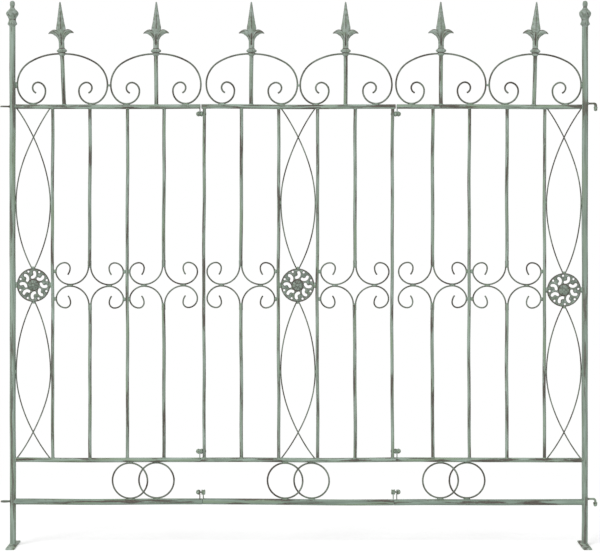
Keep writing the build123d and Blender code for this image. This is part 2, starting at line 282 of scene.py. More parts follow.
def colourRamp(tree, value, stops):
    made = addNode(tree, "ValToRGB", {"Fac": value})
    marks = made.color_ramp.elements
    for i, (place, colour) in enumerate(stops):
        stop = marks[i] if i < 2 else marks.new(place)
        stop.position = place
        stop.color = linear(colour)
    return made.outputs[0]


def clearedTree(owner):
    owner.use_nodes = True
    owner.node_tree.nodes.clear()
    return owner.node_tree


def wornPaint(name, look):
    # Flow runs along a bar in X and round it in Y and Z, so patches stretch along the bar.
    material = bpy.data.materials.new(name)
    tree = clearedTree(material)
    flow = addNode(tree, "Attribute", {"attribute_name": "flow"}).outputs["Vector"]
    # wear and painted shade: 1 at the joints for real wear, and the painted shade of the castings' hollows,
    # creases and edges
    wearAndShade = addNode(tree, "Attribute", {"attribute_name": "wearAndShade"}).outputs["Fac"]
    along, around = look["patch"]
    patches = (1000 / along, 1000 / around, 1000 / around)
    stretch = calculate(tree, "MULTIPLY", flow, patches, kind="VectorMath")
    # tone: how the brushed coat varies, from thin and grey to thick and pale
    tone = noise(tree, stretch, 1.3, 3, 0.55)
    paint = colourRamp(tree, tone, [(0.34, look["dark"]), (0.66, look["pale"]), (0.5, look["paint"])])
    # moss green bloom in the same coat, in larger patches
    bloomPlace = calculate(tree, "ADD", stretch, (13.7, 4.1, 2.3), kind="VectorMath")
    bloom = smoothStep(tree, noise(tree, bloomPlace, 0.7, 2, 0.5), 0.5, 0.66, look["bloomShare"])
    greened = colourMix(tree, bloom, paint, linear(look["bloom"]))
    # rust: streaks of bare brown metal, more of them near the joints; the same dark rust colours also paint
    # shade into the castings' hollows, creases and edges
    rustPlace = calculate(tree, "ADD", stretch, (3.1, 9.2, 7.7), kind="VectorMath")
    streaks = noise(tree, rustPlace, 0.85, 4, 0.6)
    grain = noise(tree, flow, 1000 / look["grain"], 3, 0.6)
    wornAndShaded = calculate(tree, "MULTIPLY_ADD", wearAndShade, look["wearAndShadeShare"], streaks)
    broken = calculate(tree, "MULTIPLY_ADD", grain, 0.16, wornAndShaded)
    mask = smoothStep(tree, broken, look["rustLevel"], look["rustLevel"] + look["rustEdge"])
    share = calculate(tree, "MULTIPLY", mask, look["rustShare"])
    rust = colourRamp(tree, grain, [(0.35, look["rustDark"]), (0.7, look["rustPale"])])
    roughness = addNode(tree, "MapRange", {0: share, 3: look["gloss"], 4: 0.88}).outputs[0]
    # the coat stands a little proud of the bare metal, and both are grainy
    height = calculate(tree, "MULTIPLY_ADD", grain, 0.6, share)
    bump = addNode(tree, "Bump", {
        "Strength": look["bump"], "Distance": 0.0006, "invert": True, "Height": height})
    shader = addNode(tree, "BsdfPrincipled", {
        "IOR": 1.5, "Metallic": 0, "Base Color": colourMix(tree, share, greened, rust),
        "Roughness": roughness, "Normal": bump.outputs[0]})
    addNode(tree, "OutputMaterial", {"Surface": shader.outputs[0]})
    return material


# Steel brushed with a matt sage enamel and left out in the weather: a soft grey green coat, paler and
# bluer where thick, with long thin streaks of dark brown where it has worn off. Patch and grain are
# sizes in mm, and the grain is drawn coarser than real, to show.
sageEnamel = {
    "paint": "#8b9c8d", "dark": "#727f73", "pale": "#9aaba0", "bloom": "#80937a", "bloomShare": 0.8,
    "rustDark": "#38322e", "rustPale": "#685c54", "patch": (95, 7), "grain": 4,
    "rustLevel": 0.615, "rustEdge": 0.075, "rustShare": 0.9, "wearAndShadeShare": 0.07, "gloss": 0.6, "bump": 0.5,
}
looks = {
    "postSageEnamel": {"patch": (150, 9), "rustLevel": 0.62, "rustShare": 0.75},
    "railSageEnamel": {"rustLevel": 0.6},
    "bottomRailSageEnamel": {
        "paint": "#7d8e81", "dark": "#6a786d", "pale": "#8fa195", "rustLevel": 0.61, "patch": (120, 8)},
    "barSageEnamel": {"paint": "#869486", "rustLevel": 0.59, "rustEdge": 0.08},
    # The feet's top is scuffed down to bright primer in places, and the eyes and hooks keep more of
    # their enamel than the wires do.
    "scuffedFoot": {
        "paint": "#909e92", "dark": "#6d786c", "pale": "#bcc5bb", "patch": (24, 12), "grain": 3,
        "rustLevel": 0.6},
    "joinerSageEnamel": {
        "paint": "#7d8a7d", "dark": "#667065", "pale": "#95a297", "patch": (40, 7), "rustLevel": 0.57,
        "rustEdge": 0.1},
    # Drawn wire: a thin wash of enamel over brown mill scale, which shows nearly everywhere.
    "washedWire": {
        "paint": "#6b7367", "dark": "#53554c", "pale": "#7d897b", "bloom": "#677463", "patch": (48, 6),
        "rustDark": "#352f2b", "rustPale": "#574e46", "rustLevel": 0.52, "rustEdge": 0.15,
        "wearAndShadeShare": -0.1},
    # Sand-cast iron: the enamel is pale on the raised parts, and painted shade darkens the hollows to
    # brown-black. On the medallions it is greener and darker.
    "castSageEnamel": {
        "paint": "#8b988d", "dark": "#757e71", "pale": "#9da9a1", "bloom": "#80907d", "bloomShare": 0.6,
        "patch": (14, 9), "grain": 3, "rustLevel": 0.76, "rustEdge": 0.22, "wearAndShadeShare": 0.6, "bump": 0.7},
    "castMedallion": {
        "paint": "#78857a", "dark": "#5f6a60", "pale": "#8f9d92", "bloom": "#707e6c", "patch": (12, 9),
        "grain": 2.6, "rustLevel": 0.72, "rustEdge": 0.3, "wearAndShadeShare": 0.62, "bump": 0.6},
    # Weld metal brushed over thickly, so pale, with dark pinholes.
    "weldSageEnamel": {
        "paint": "#87998a", "pale": "#94a698", "patch": (9, 6), "grain": 2.2, "rustLevel": 0.7,
        "wearAndShadeShare": 0, "bump": 0.8},
    # Zinc plated bolts and nuts, painted with the fence and rusted at the threads.
    "paintedFastener": {
        "paint": "#82917f", "dark": "#5f675b", "patch": (10, 6), "grain": 2.5, "rustLevel": 0.62,
        "wearAndShadeShare": 0, "bump": 0.8},
}
# The right post and finial are a little darker than the left ones.
looks["rightPostSageEnamel"] = looks["postSageEnamel"] | {
    "paint": "#829284", "dark": "#6b776c", "pale": "#90a096", "bloom": "#788972"}
looks["rightCastSageEnamel"] = looks["castSageEnamel"] | {
    "paint": "#838f85", "dark": "#6e766a", "pale": "#949f97", "bloom": "#788776"}
paints = {name: wornPaint(name, sageEnamel | look) for name, look in looks.items()}
print("materials made")


# Layout shared by the pieces, in mm.
fenceMiddle, postSpacing, postRadius, postTop = 787, 1574, 8, 1429
topRail, lowerRail, bottomRail, railRadius, bottomRailRadius = 1209, 237, 122, 5.75, 7.5
ornament = 718                                  # height of the scrolls' and medallions' middle line
headFoot = 1348                                 # height where the spear heads start, and lean from
arches = [(137, -2.3), (396, 0), (657.5, 0), (916.5, 0), (1178, 0), (1437, 1.6)]    # place, spear's lean
plainBars, endBars = [110.5, 317, 733.5, 840.5, 1257, 1463.5], [528.2, 1045.8]
splitBars = [213.5, 417.5, 630.5, 943.5, 1156.5, 1360.5]
sections = ["left", "middle", "right"]
postPlaces = (0, postSpacing)
topUnder, topOver = topRail - railRadius, topRail + railRadius
lowerUnder, lowerOver = lowerRail - railRadius, lowerRail + railRadius
bottomOver = bottomRail + bottomRailRadius


def named(kind):
    return [f"{section}_{kind}" for section in sections]


def upright(x, low, high, step):
    return pointsAt(x, 0, linspace(low, high, int((high - low) / step)))


def flatCircle(x, z, radius, count):
    a = turn(count)
    return pointsAt(x + radius * cos(a), radius * sin(a), z)


def arcChain(start, headingDegrees, arcs, hand, step=2.2):
    # Tangent arcs in the XZ plane. With heading h = h0 + hand u / r, each arc is
    # C(u) = C0 + hand r (sin h - sin h0, cos h0 - cos h), u being the length along it.
    place, heading = array(start, float), radians(headingDegrees)
    runs = [place[None, :]]
    for radius, turned in arcs:
        length = radius * radians(turned)
        u = linspace(0, length, max(4, int(length / step)))[1:]
        h = heading + hand * u / radius
        chord = np.stack([sin(h) - sin(heading), cos(heading) - cos(h)], axis=1)
        runs.append(place + hand * radius * chord)
        place, heading = runs[-1][-1], h[-1]
    flat = concatenate(runs)
    return pointsAt(flat[:, 0], 0, flat[:, 1])


def wire(path, radius, sides, offset, closed=False):
    # Drawn wire, dented and scaled: its radius varies by a twentieth along the path.
    return carryRound(path, radius * (1 + 0.05 * lumps(path, 7)), sides, closed=closed, offset=offset)


# Scroll, arch and cross wires.
scroll = {
    "wire": 2.1, "start": (3, 0), "sides": 12,
    "tail": [(3.2, 14), (3.1, 7)],    # X, and how far up the bar
    "arcs": [(51.5, 87), (40.5, 67), (27.5, 28), (25, 87), (14.5, 92), (29.5, 37)],
}
arch = {
    "wire": 2.4, "start": (7.5, 0), "sides": 14, "tail": [0, 4],
    "arcs": [(157, 31), (72, 69), (53, 43), (35, 132), (23, 66), (15, 175)],
    # how much wider than the first arch each left and right half is
    "stretch": [(1.0, 1.01), (1.015, 1.0), (1.0, 1.028), (1.01, 1.03), (1.0, 1.0), (1.025, 1.02)],
}

scrollPath = arcChain(scroll["start"], -90, scroll["arcs"], 1)
scrollPath[:, 2] += 0.1 + scroll["wire"] - scrollPath[:, 2].min()
scrollEnd = scrollPath[0, 2]
scrollSeat = scrollPath[scrollPath[:, 2].argmin(), 0]
scrollFar = scrollPath[scrollPath[:, 0].argmax()]
scrollPath = concatenate([[(x, 0, scrollEnd + z) for x, z in scroll["tail"]], scrollPath])

archPath = arcChain(arch["start"], 0, arch["arcs"], -1)
archPath[:, 2] += railRadius + arch["wire"] + 0.05 - archPath[:, 2].min()
archSeat = archPath[archPath[:, 2].argmin(), 0]
archFar = archPath[archPath[:, 0].argmax()]
archPath = concatenate([[(x, 0, archPath[0, 2]) for x in arch["tail"]], archPath])

for x in plainBars + splitBars + endBars:
    joints += [(x, 0, topUnder), (x, 0, lowerOver)]
for x, _ in arches:
    joints += [(x, 0, topOver), (x, 0, headFoot + 4)]
    joints += [(x + hand * archSeat, 0, topOver) for hand in (-1, 1)]
joints += [(x, 0, z) for x in postPlaces for z in (topRail, lowerRail, bottomRail)]

scrollParts = []
for i, x in enumerate(splitBars):
    for hand in (-1, 1):
        for half in (1, -1):
            path = scrollPath * (hand, 1, half) + (x, 0, ornament)
            scrollParts.append(wire(path, scroll["wire"], scroll["sides"], 90.0 * i + 31 * hand + 17 * half))
makePiece("scrollWires", scrollParts, "washedWire",
          named("upper_scrolls") + named("lower_scrolls"))

archParts = []
for i, (x, _) in enumerate(arches):
    for hand, stretch in zip((-1, 1), arch["stretch"][i]):
        path = archPath * (hand * stretch, 1, 1) + (x, 0, topRail)
        archParts.append(wire(path, arch["wire"], arch["sides"], 110.0 * i + 47 * hand))
makePiece("archWires", archParts, "washedWire", named("arches"))

# Middle and half width of each medallion bay, how far its medallion hangs below the ornament line, the
# angle of the medallion's first knob in degrees, and how far its crossed wires are pushed over.
bays = {
    "left": {"middle": 57.13, "half": 49.13, "drop": 0, "firstKnob": 9, "pinch": 5.6},
    "middle": {"middle": 787, "half": 49.25, "drop": 0, "firstKnob": 9, "pinch": 5.2},
    "right": {"middle": 1516.88, "half": 49.13, "drop": 13, "firstKnob": -7, "pinch": 5.2},
}
for bay in bays.values():
    bay["height"] = ornament - bay["drop"]
cross = {
    "wire": 1.8, "layer": 1.95, "upperBulge": 945, "lowerBulge": 480, "sides": 10, "step": 6,
    "intoRail": 3, "atCorner": 1.7, "atTip": 2.2,
    "medallionEdge": 45.5, "overEdge": 1.5,      # the wires end on the medallion, this far inside its edge
}


def crossPath(bay, bulgeZ, cornerZ, tipZ):
    # Two arcs that leave the bulge at the bar upright: one ends in the far corner at the rail, the
    # other at the medallion. Each has radius (across^2 + rise^2) / (2 across). The one to the corner
    # is pushed over by pinch sin(pi u^1.6), u being how far it is from the bulge to the corner.
    bulgeX = bay["half"] - cross["wire"] - 0.1
    halves = []
    toCorner = bay["half"] - cross["atCorner"] + bulgeX
    for across, z in ((toCorner, cornerZ), (bulgeX - cross["atTip"], tipZ)):
        rise = z - bulgeZ
        radius = (across**2 + rise**2) / (2 * across)
        turned = np.degrees(2 * np.arctan(across / abs(rise)))
        upward = sign(rise)
        halves.append(arcChain((bulgeX, bulgeZ), 90 * upward, [(radius, turned)], upward, cross["step"]))
    path = concatenate([halves[0][::-1], halves[1][1:]])
    path[:, 0] -= bay["pinch"] * sin(pi * ramp(path[:, 2], bulgeZ, cornerZ) ** 1.6)
    return path


crossParts = []
for bay in bays.values():
    reach = cross["medallionEdge"] - cross["overEdge"]
    for bulge, corner, tip in (
        (cross["upperBulge"], topRail - cross["intoRail"], bay["height"] + reach),
        (cross["lowerBulge"], lowerRail + cross["intoRail"], bay["height"] - reach),
    ):
        for hand in (-1, 1):
            path = crossPath(bay, bulge, corner, tip) * (hand, 1, 1)
            path = path + (bay["middle"], hand * cross["layer"], 0)
            crossParts.append(wire(path, cross["wire"], cross["sides"], bay["middle"] + bulge + 53 * hand))
makePiece("crossedWires", crossParts, "washedWire", named("crossed_wires"))

rings = {"wire": 2.35, "spacing": 73, "pairs": [360, 787, 1214], "layer": 2.1, "count": 132, "sides": 12}
ringRadius = (lowerUnder - bottomOver) / 2 - 0.05 - rings["wire"]
ringParts, ringPlaces = [], []
for pairX in rings["pairs"]:
    for layer in (-1, 1):
        a = turn(rings["count"])
        x, y = pairX + layer * rings["spacing"] / 2, layer * rings["layer"]
        path = pointsAt(cos(a), 0, sin(a)) * ringRadius + (x, y, (lowerUnder + bottomOver) / 2)
        ringParts.append(wire(path, rings["wire"], rings["sides"], pairX + 40 * layer, closed=True))
        joints += [(x, y, lowerUnder), (x, y, bottomOver)]
        ringPlaces.append((x, y))
makePiece("ringWires", ringParts, "washedWire", ["rings"])
print("wires made")

# Posts, rails and bars.
post = {"radius": 8.35, "foot": 4, "sides": 40, "step": 9, "belowTop": 0.2}
for side, x, paint in zip(("left", "right"), postPlaces, ("postSageEnamel", "rightPostSageEnamel")):
    path = upright(x, post["foot"], postTop - post["belowTop"], post["step"])
    tube = carryRound(path, post["radius"], post["sides"], blunt=0.02, offset=x)
    makePiece(side + "PostTube", [tube], paint, [side + "_post"])

rails = {
    # where each section's rail starts and ends
    "topSpans": [(3, 517.3), (520.3, 1053.7), (1056.7, 1571)],
    "lowerSpans": [(3, 518.5), (519.2, 1054.8), (1055.5, 1571)],
    "bottomSpans": [(3, 523.2), (524.4, 1049.6), (1050.8, 1571)],
    "bottomHeights": [(121.6, 122.4), (122.8, 119.6), (119.4, 121.4)],    # at those two places
    "radius": 6.3, "bottomRadius": 8.3, "sides": 28, "bottomSides": 32, "step": 10, "blunt": 0.08,
}


def railPart(span, heights, radius, sides, offset):
    count = int((span[1] - span[0]) / rails["step"])
    path = pointsAt(linspace(*span, count), 0, linspace(*heights, count))
    return carryRound(path, radius, sides, blunt=rails["blunt"], offset=offset)


railParts, bottomRailParts = [], []
for i in range(len(sections)):
    for key, z in (("topSpans", topRail), ("lowerSpans", lowerRail)):
        railParts.append(railPart(rails[key][i], (z, z), rails["radius"], rails["sides"], z + 700 * i))
    span, heights = rails["bottomSpans"][i], rails["bottomHeights"][i]
    bottomRailParts.append(railPart(span, heights, rails["bottomRadius"], rails["bottomSides"], 700 * i))
makePiece("upperRailBars", railParts, "railSageEnamel",
          named("top_rail") + named("lower_rail"))
makePiece("bottomRailTubes", bottomRailParts, "bottomRailSageEnamel", named("bottom_rail"))

bars = {
    "plainRadius": 4.5, "plainSides": 24, "splitRadius": 4.75, "rodRadius": 5.5, "sides": 26,
    "step": 11, "rodStep": 9, "intoRail": 2, "intoHead": 6,
}
barLow, barHigh = lowerRail + bars["intoRail"], topRail - bars["intoRail"]
barParts = []
for i, x in enumerate(plainBars + endBars):
    path = upright(x, barLow, barHigh, bars["step"])
    barParts.append(carryRound(path, bars["plainRadius"], bars["plainSides"], blunt=0.1, offset=130.0 * i))
for i, x in enumerate(splitBars):
    for low, high in ((ornament + scrollEnd, barHigh), (barLow, ornament - scrollEnd)):
        path = upright(x, low, high, bars["step"])
        own = 170.0 * i + low
        barParts.append(carryRound(path, bars["splitRadius"], bars["sides"], blunt=0.3, offset=own))
for x, lean in arches:
    path = upright(0, topRail + 1, headFoot + bars["intoHead"], bars["rodStep"])
    path = tilt(path, lean, headFoot) + (x, 0, 0)
    barParts.append(carryRound(path, bars["rodRadius"], bars["sides"], blunt=0.1, offset=x))
makePiece("uprightBars", barParts, "barSageEnamel",
          named("plain_bars") + named("split_bars") + named("spear_rods") + ["middle_end_bars"])
print("bars made")

# Weld beads.
weld = {
    # half sizes in X, Y and Z, or in Y and Z where a gap gives the first
    "plainBar": (6.2, 6, 3), "splitBar": (6.6, 6.2, 3), "scrollSeat": (8, 2.7, 2.6),
    "scrollEnd": (4.9, 3.6, 3.4), "spearFoot": (7.4, 7, 3.4), "archSeat": (9.5, 4, 3.2),
    "betweenArches": (2.9, 3.2), "archToPost": (3.4, 9), "scrollToBar": (3, 5.5), "ring": (9.5, 2.8, 2.4),
    "medallionSide": (3.8, 3.6, 8), "medallionTip": (4.6, 3.2, 4), "crossBulge": (2, 2.2, 6),
    "railDepth": 3.2, "railRadii": {topRail: 7.2, lowerRail: 7.2, bottomRail: 9.0}, "postSide": 7.6,
    "widestGap": 16,            # between a scroll and a plain bar that are welded
}
barEnds = (topUnder + 0.6, lowerOver - 0.6)
welds = [bead((x, 0, z), weld["plainBar"]) for x in plainBars + endBars for z in barEnds]
for x in splitBars:
    welds += [bead((x, 0, z), weld["splitBar"]) for z in barEnds]
    for side in (-1, 1):
        welds.append(bead((x + side * scrollSeat, 0, ornament), weld["scrollSeat"]))
        welds.append(bead((x, 0, ornament + side * (scrollEnd - 1.5)), weld["scrollEnd"]))
archSides = []
for (x, lean), stretches in zip(arches, arch["stretch"]):
    footX = x - np.tan(radians(lean)) * (headFoot - topOver)
    welds.append(bead((footX, 0, topOver - 0.4), weld["spearFoot"]))
    for hand, stretch in zip((-1, 1), stretches):
        welds.append(bead((x + hand * stretch * archSeat, 0, topOver + 0.8), weld["archSeat"]))
        archSides.append(x + hand * archFar[0] * stretch)
archGaps = [(archSides[i], archSides[i + 1]) for i in (1, 5, 9)]
postGaps = [(postRadius, archSides[0]), (archSides[-1], postSpacing - postRadius)]
for gaps, spare, size in ((archGaps, 0.4, weld["betweenArches"]), (postGaps, 1.2, weld["archToPost"])):
    for low, high in gaps:
        centre = ((low + high) / 2, 0, topRail + archFar[2] - 3)
        welds.append(bead(centre, (abs(high - low) / 2 + spare, *size)))
for far in [x + hand * scrollFar[0] for x in splitBars for hand in (-1, 1)]:
    nearest = min(plainBars, key=lambda x: abs(x - far))
    if abs(nearest - far) < weld["widestGap"]:
        edge = nearest - sign(nearest - far) * bars["plainRadius"]
        for half in (-1, 1):
            centre = ((far + edge) / 2, 0, ornament + half * scrollFar[2])
            welds.append(bead(centre, (abs(far - edge) / 2 + 1.6, *weld["scrollToBar"])))
for x, y in ringPlaces:
    welds += [bead((x, y, z), weld["ring"]) for z in (lowerUnder + 0.4, bottomOver - 0.4)]
for x, inward in zip(postPlaces, (1, -1)):
    for z, radius in weld["railRadii"].items():
        centre = (x + inward * weld["postSide"], 0, z)
        welds.append(bead(centre, (weld["railDepth"], radius, radius)))
for bay in bays.values():
    for side in (-1, 1):
        sideX = bay["middle"] + side * (bay["half"] - 1.6)
        welds.append(bead((sideX, -0.5, bay["height"]), weld["medallionSide"]))
        tipZ = bay["height"] + side * (cross["medallionEdge"] + 1.6)
        welds.append(bead((bay["middle"], 0, tipZ), weld["medallionTip"]))
        bulgeX = bay["middle"] + side * (bay["half"] - 0.4)
        for bulge in (cross["upperBulge"], cross["lowerBulge"]):
            welds.append(bead((bulgeX, side * cross["layer"], bulge), weld["crossBulge"]))
makePiece("weldBeads", welds, "weldSageEnamel")

# Feet, eyes and hooks.
foot = {
    "width": 24, "length": 139.6, "corner": 3, "sides": 64,
    "edges": [(0, 0.5), (0.7, 0), (3.1, 0), (4, 0.7)],      # height, and how far it is drawn in there
    "weldHeight": 5, "weldCircle": 8.6, "weldRadius": 2,
}


def footPlate(x):
    # A rounded rectangle (a sign(cos t) + r cos t, b sign(sin t) + r sin t), drawn in a little at its
    # top and bottom.
    t = turn(foot["sides"]) + pi / foot["sides"]
    z, inset = array(foot["edges"]).T[:, :, None]
    r = foot["corner"] - inset
    px = x + sign(cos(t)) * (foot["width"] / 2 - foot["corner"]) + r * cos(t)
    py = sign(sin(t)) * (foot["length"] / 2 - foot["corner"]) + r * sin(t)
    points = pointsAt(px, py, z)
    return gridPart(points, points[..., [1, 0, 2]])


footParts = []
for x in postPlaces:
    path = flatCircle(x, foot["weldHeight"], foot["weldCircle"], 40)
    swell = foot["weldRadius"] * (1 + 0.2 * lumps(path, 3))
    footParts += [footPlate(x), carryRound(path, swell, 10, across=(0, 0, 1), closed=True)]
makePiece("footPlates", footParts, "scuffedFoot", ["feet"])

eye = {"x": -21, "outer": 13.2, "hole": 9.2, "thickness": 4, "levels": [1209, 122], "weld": (3.4, 4.6, 3.2)}
eyeParts = []
band = (eye["outer"] - eye["hole"]) / 2
for z in eye["levels"]:
    path = flatCircle(eye["x"], z, eye["hole"] + band, 72)
    deep = eye["thickness"] / 2 / band
    eyeParts.append(carryRound(path, band, 14, across=(0, 0, 1), closed=True, deep=deep, offset=z))
    eyeParts.append(bead((-9.2, 0, z), eye["weld"]))
makePiece("joiningEyes", eyeParts, "joinerSageEnamel", ["left_eyes"])

hook = {
    "radius": 2.7, "reach": 29.1, "bend": 6, "drop": 20, "weld": (3, 4.4, 4),
    "levels": [(1217.5, 4.3, 5.4), (130, 3.1, 5.8)],    # the arm's height, the radii of its pin and nut
    "nutTop": 8.5, "nutMarks": [0, 1.1, 4.6, 5.7],      # below the arm, and below the nut's top
}
domeAngle = radians(linspace(0, 84, 12))


def hexagon(path, radius, offset):
    # A nut or bolt head along a path of four points, its corners eased at both ends.
    return carryRound(path, radius * array([0.78, 1, 1, 0.78]), 6, blunt=0.02, offset=offset)


def dome(path, radius, offset):
    # The cap of a nut: r cos(a)^0.7, where the path is at reach sin(a).
    return carryRound(path, radius * cos(domeAngle) ** 0.7, 20, blunt=0.3, offset=offset)


def hookPath(z):
    # An arm that leaves the post level, a quarter turn down, and the pin.
    pinX, bend = postSpacing + hook["reach"], hook["bend"]
    a = radians(linspace(0, 90, 9))[1:]
    arm = pointsAt(linspace(postSpacing + 4, pinX - bend, 8), 0, z)
    corner = pointsAt(pinX - bend + bend * sin(a), 0, z - bend + bend * cos(a))
    pin = pointsAt(pinX, 0, linspace(z - bend, z - hook["drop"] + 1, 7)[1:])
    return concatenate([arm, corner, pin])


def hookNut(z, radius):
    # A nut on the hook's pin and a rounded cap below it.
    x = postSpacing + hook["reach"]
    nut = hexagon(pointsAt(x, 0, z - array(hook["nutMarks"])), radius, z)
    return [nut, dome(pointsAt(x, 0, z - 5.9 - 6.4 * sin(domeAngle)), 0.94 * radius, z + 9)]


hookParts, hookNuts = [], []
for z, pinRadius, nutRadius in hook["levels"]:
    path = hookPath(z)
    thickness = np.interp(np.arange(len(path)), [7, 12], [hook["radius"], pinRadius])
    hookParts.append(carryRound(path, thickness, 16, blunt=0.4, offset=z))
    hookParts.append(bead((postSpacing + 8.4, 0, z), hook["weld"]))
    hookNuts += hookNut(z - hook["nutTop"], nutRadius)
makePiece("joiningHooks", hookParts, "joinerSageEnamel", ["right_hooks"])
makePiece("hookNuts", hookNuts, "paintedFastener")
print("posts dressed")

# Seam lugs, bolts and nuts.
seam = {
    # places along X are measured from the fence's middle
    "offset": 270.95, "innerOffset": 261.35, "lugWidth": 12, "lugThickness": 2.5, "lugIntoRail": 2,
    "lugEdges": [(-0.5, 0.93), (-0.36, 1), (0.36, 1), (0.5, 0.93)],    # share of the thickness, size there
    "levels": {"top": 1188.5, "lower": 260.5, "bottom": 148},
    "barSeat": 254.55, "lugSeat": 260.1, "nutSeat": 272.2, "pitch": 1.6,
    "boltRadius": 2.5, "nutRadius": 7, "nutHeight": 5, "thinNut": 3.8, "spacerNut": 6.3,
    "smallHead": (3.6, 0.9), "hexHead": (7, 4.2), "domeRadius": 6.2, "domeFrom": 3.8, "domeReach": 5.2,
}


def lug(x, railEdge, boltZ):
    # A flat strap from the rail to its bolt: an outline in the YZ plane, round at the bolt end, carried
    # from one face of the strap to the other and drawn in a little at both.
    t = turn(40)
    outward = sign(boltZ - railEdge)
    half = seam["lugWidth"] / 2
    atBolt = sin(t) > 0
    y = half * np.where(atBolt, cos(t), sign(cos(t)) * np.abs(cos(t)) ** 0.3)
    z = np.where(atBolt, boltZ + outward * half * sin(t), railEdge - outward * seam["lugIntoRail"])
    share, size = array(seam["lugEdges"]).T[:, :, None]
    points = pointsAt(x + share * seam["lugThickness"], y * size, boltZ + (z - boltZ) * size)
    part = gridPart(points, points[..., [2, 0, 1]])
    return part if outward > 0 else insideOut(part)


def hexBar(start, end, z, radius):
    # A hexagonal prism along X, a flat to the front.
    eased = 0.22 * (end - start)
    return hexagon(pointsAt([start, start + eased, end - eased, end], 0, z), radius, start + z)


def boltParts(hand, z, atBar):
    # A threaded shank with its head on the inner side, and a cap nut on the outside: a hexagon that
    # runs out in a dome. Where the bolt goes through the end bar, a plain nut against the outer lug
    # spaces that off the bar, and else a thin one holds the inner lug.
    seat = fenceMiddle + hand * (seam["barSeat"] if atBar else seam["lugSeat"])
    nutX = fenceMiddle + hand * seam["nutSeat"]
    shankX = linspace(seat, nutX + hand * 7, 80)
    thread = seam["boltRadius"] * (0.93 + 0.07 * sin(shankX * 2 * pi / seam["pitch"]))
    headSize, headHeight = seam["smallHead"] if atBar else seam["hexHead"]
    if atBar:
        plainEnd = fenceMiddle + hand * (seam["offset"] - seam["lugThickness"] / 2)
        plainStart = plainEnd - hand * seam["spacerNut"]
    else:
        plainStart = fenceMiddle + hand * (seam["innerOffset"] + seam["lugThickness"] / 2)
        plainEnd = plainStart + hand * seam["thinNut"]
    domeX = nutX + hand * (seam["domeFrom"] + seam["domeReach"] * sin(domeAngle))
    return [
        carryRound(pointsAt(shankX, 0, z), thread, 12, blunt=0.2, offset=z),
        hexBar(seat + hand * 0.1, seat - hand * headHeight, z, headSize),
        hexBar(plainStart, plainEnd, z, seam["nutRadius"]),
        hexBar(nutX, nutX + hand * seam["nutHeight"], z, seam["nutRadius"]),
        dome(pointsAt(domeX, 0, z), seam["domeRadius"], z + 5),
    ]


lugParts, fastenerParts = [], []
railEdges = {"top": topUnder, "lower": lowerOver, "bottom": bottomOver}
for hand in (-1, 1):
    outerX = fenceMiddle + hand * seam["offset"]
    lugParts += [lug(outerX, railEdges[key], z) for key, z in seam["levels"].items()]
    lugParts.append(lug(fenceMiddle + hand * seam["innerOffset"], bottomOver, seam["levels"]["bottom"]))
    for key, z in seam["levels"].items():
        fastenerParts += boltParts(hand, z, atBar=key != "bottom")
makePiece("seamLugs", lugParts, "railSageEnamel", ["seam_lugs"])
makePiece("boltsAndNuts", fastenerParts, "paintedFastener", ["seam_bolts"])
print("seams made")

# Finials.
finial = {
    # height above the post's top, radius
    "marks": [
        (-2, 8.3), (0.5, 8.5), (2.5, 9.4), (5, 12), (7, 12.5), (9.5, 11.8), (12, 11), (15.5, 10.2), (19, 10),
        (23, 11.2), (26.5, 13), (30.5, 15.3), (34.6, 16.4), (38, 16), (41, 14.4), (44, 11.8), (46.6, 9.3),
        (50, 6.7), (53, 5.6), (56, 6), (58.5, 6.8), (62, 7), (66, 6.6), (69, 5.2), (70.5, 3), (71, 0.6)],
    "petals": 6, "leaves": 10, "bud": 33, "collar": 8, "waists": (18, 53), "petalLean": 0.035,
    "sides": 96, "step": 1.0,
}


def finialPart(x):
    # A profile turned about the post: P(h, t) = (r cos t, r sin t, h). Its radius swells and falls round
    # the bud in petals that lean with the height, and the collar below is cut into pointed leaves.
    # Shade is painted in: darker in the creases between the petals and the leaves, and round the two waists.
    f = finial
    height, r = smoothLevels(f["marks"], f["step"]).T[:, :, None]
    t = turn(f["sides"])
    petal = sin(f["petals"] * (t + f["petalLean"] * height) / 2)
    leaf = cos(f["leaves"] * t / 2)
    radius = r * (1 + 0.085 * bell(height, f["bud"], 11) * (np.abs(petal) * 2 - 1.25))
    radius = radius * (1 + 0.09 * bell(height, f["collar"], 4) * (np.abs(leaf) * 2 - 1.3))
    part = gridPart(pointsAt(x + radius * cos(t), radius * sin(t), postTop + height))
    part["paintedShade"] = largest(
        0.8 * bell(height, f["bud"], 12) * bell(petal, 0, 0.2),
        0.8 * bell(height, f["collar"], 5) * bell(leaf, 0, 0.22),
        0.55 * bell(height, f["waists"][0], 2.2) + 0.6 * bell(height, f["waists"][1], 1.5),
    ).ravel()
    return part


for side, x, paint in zip(("left", "right"), postPlaces, ("castSageEnamel", "rightCastSageEnamel")):
    makePiece(side + "BudFinial", [finialPart(x)], paint, ["finials"], wearReach=0)

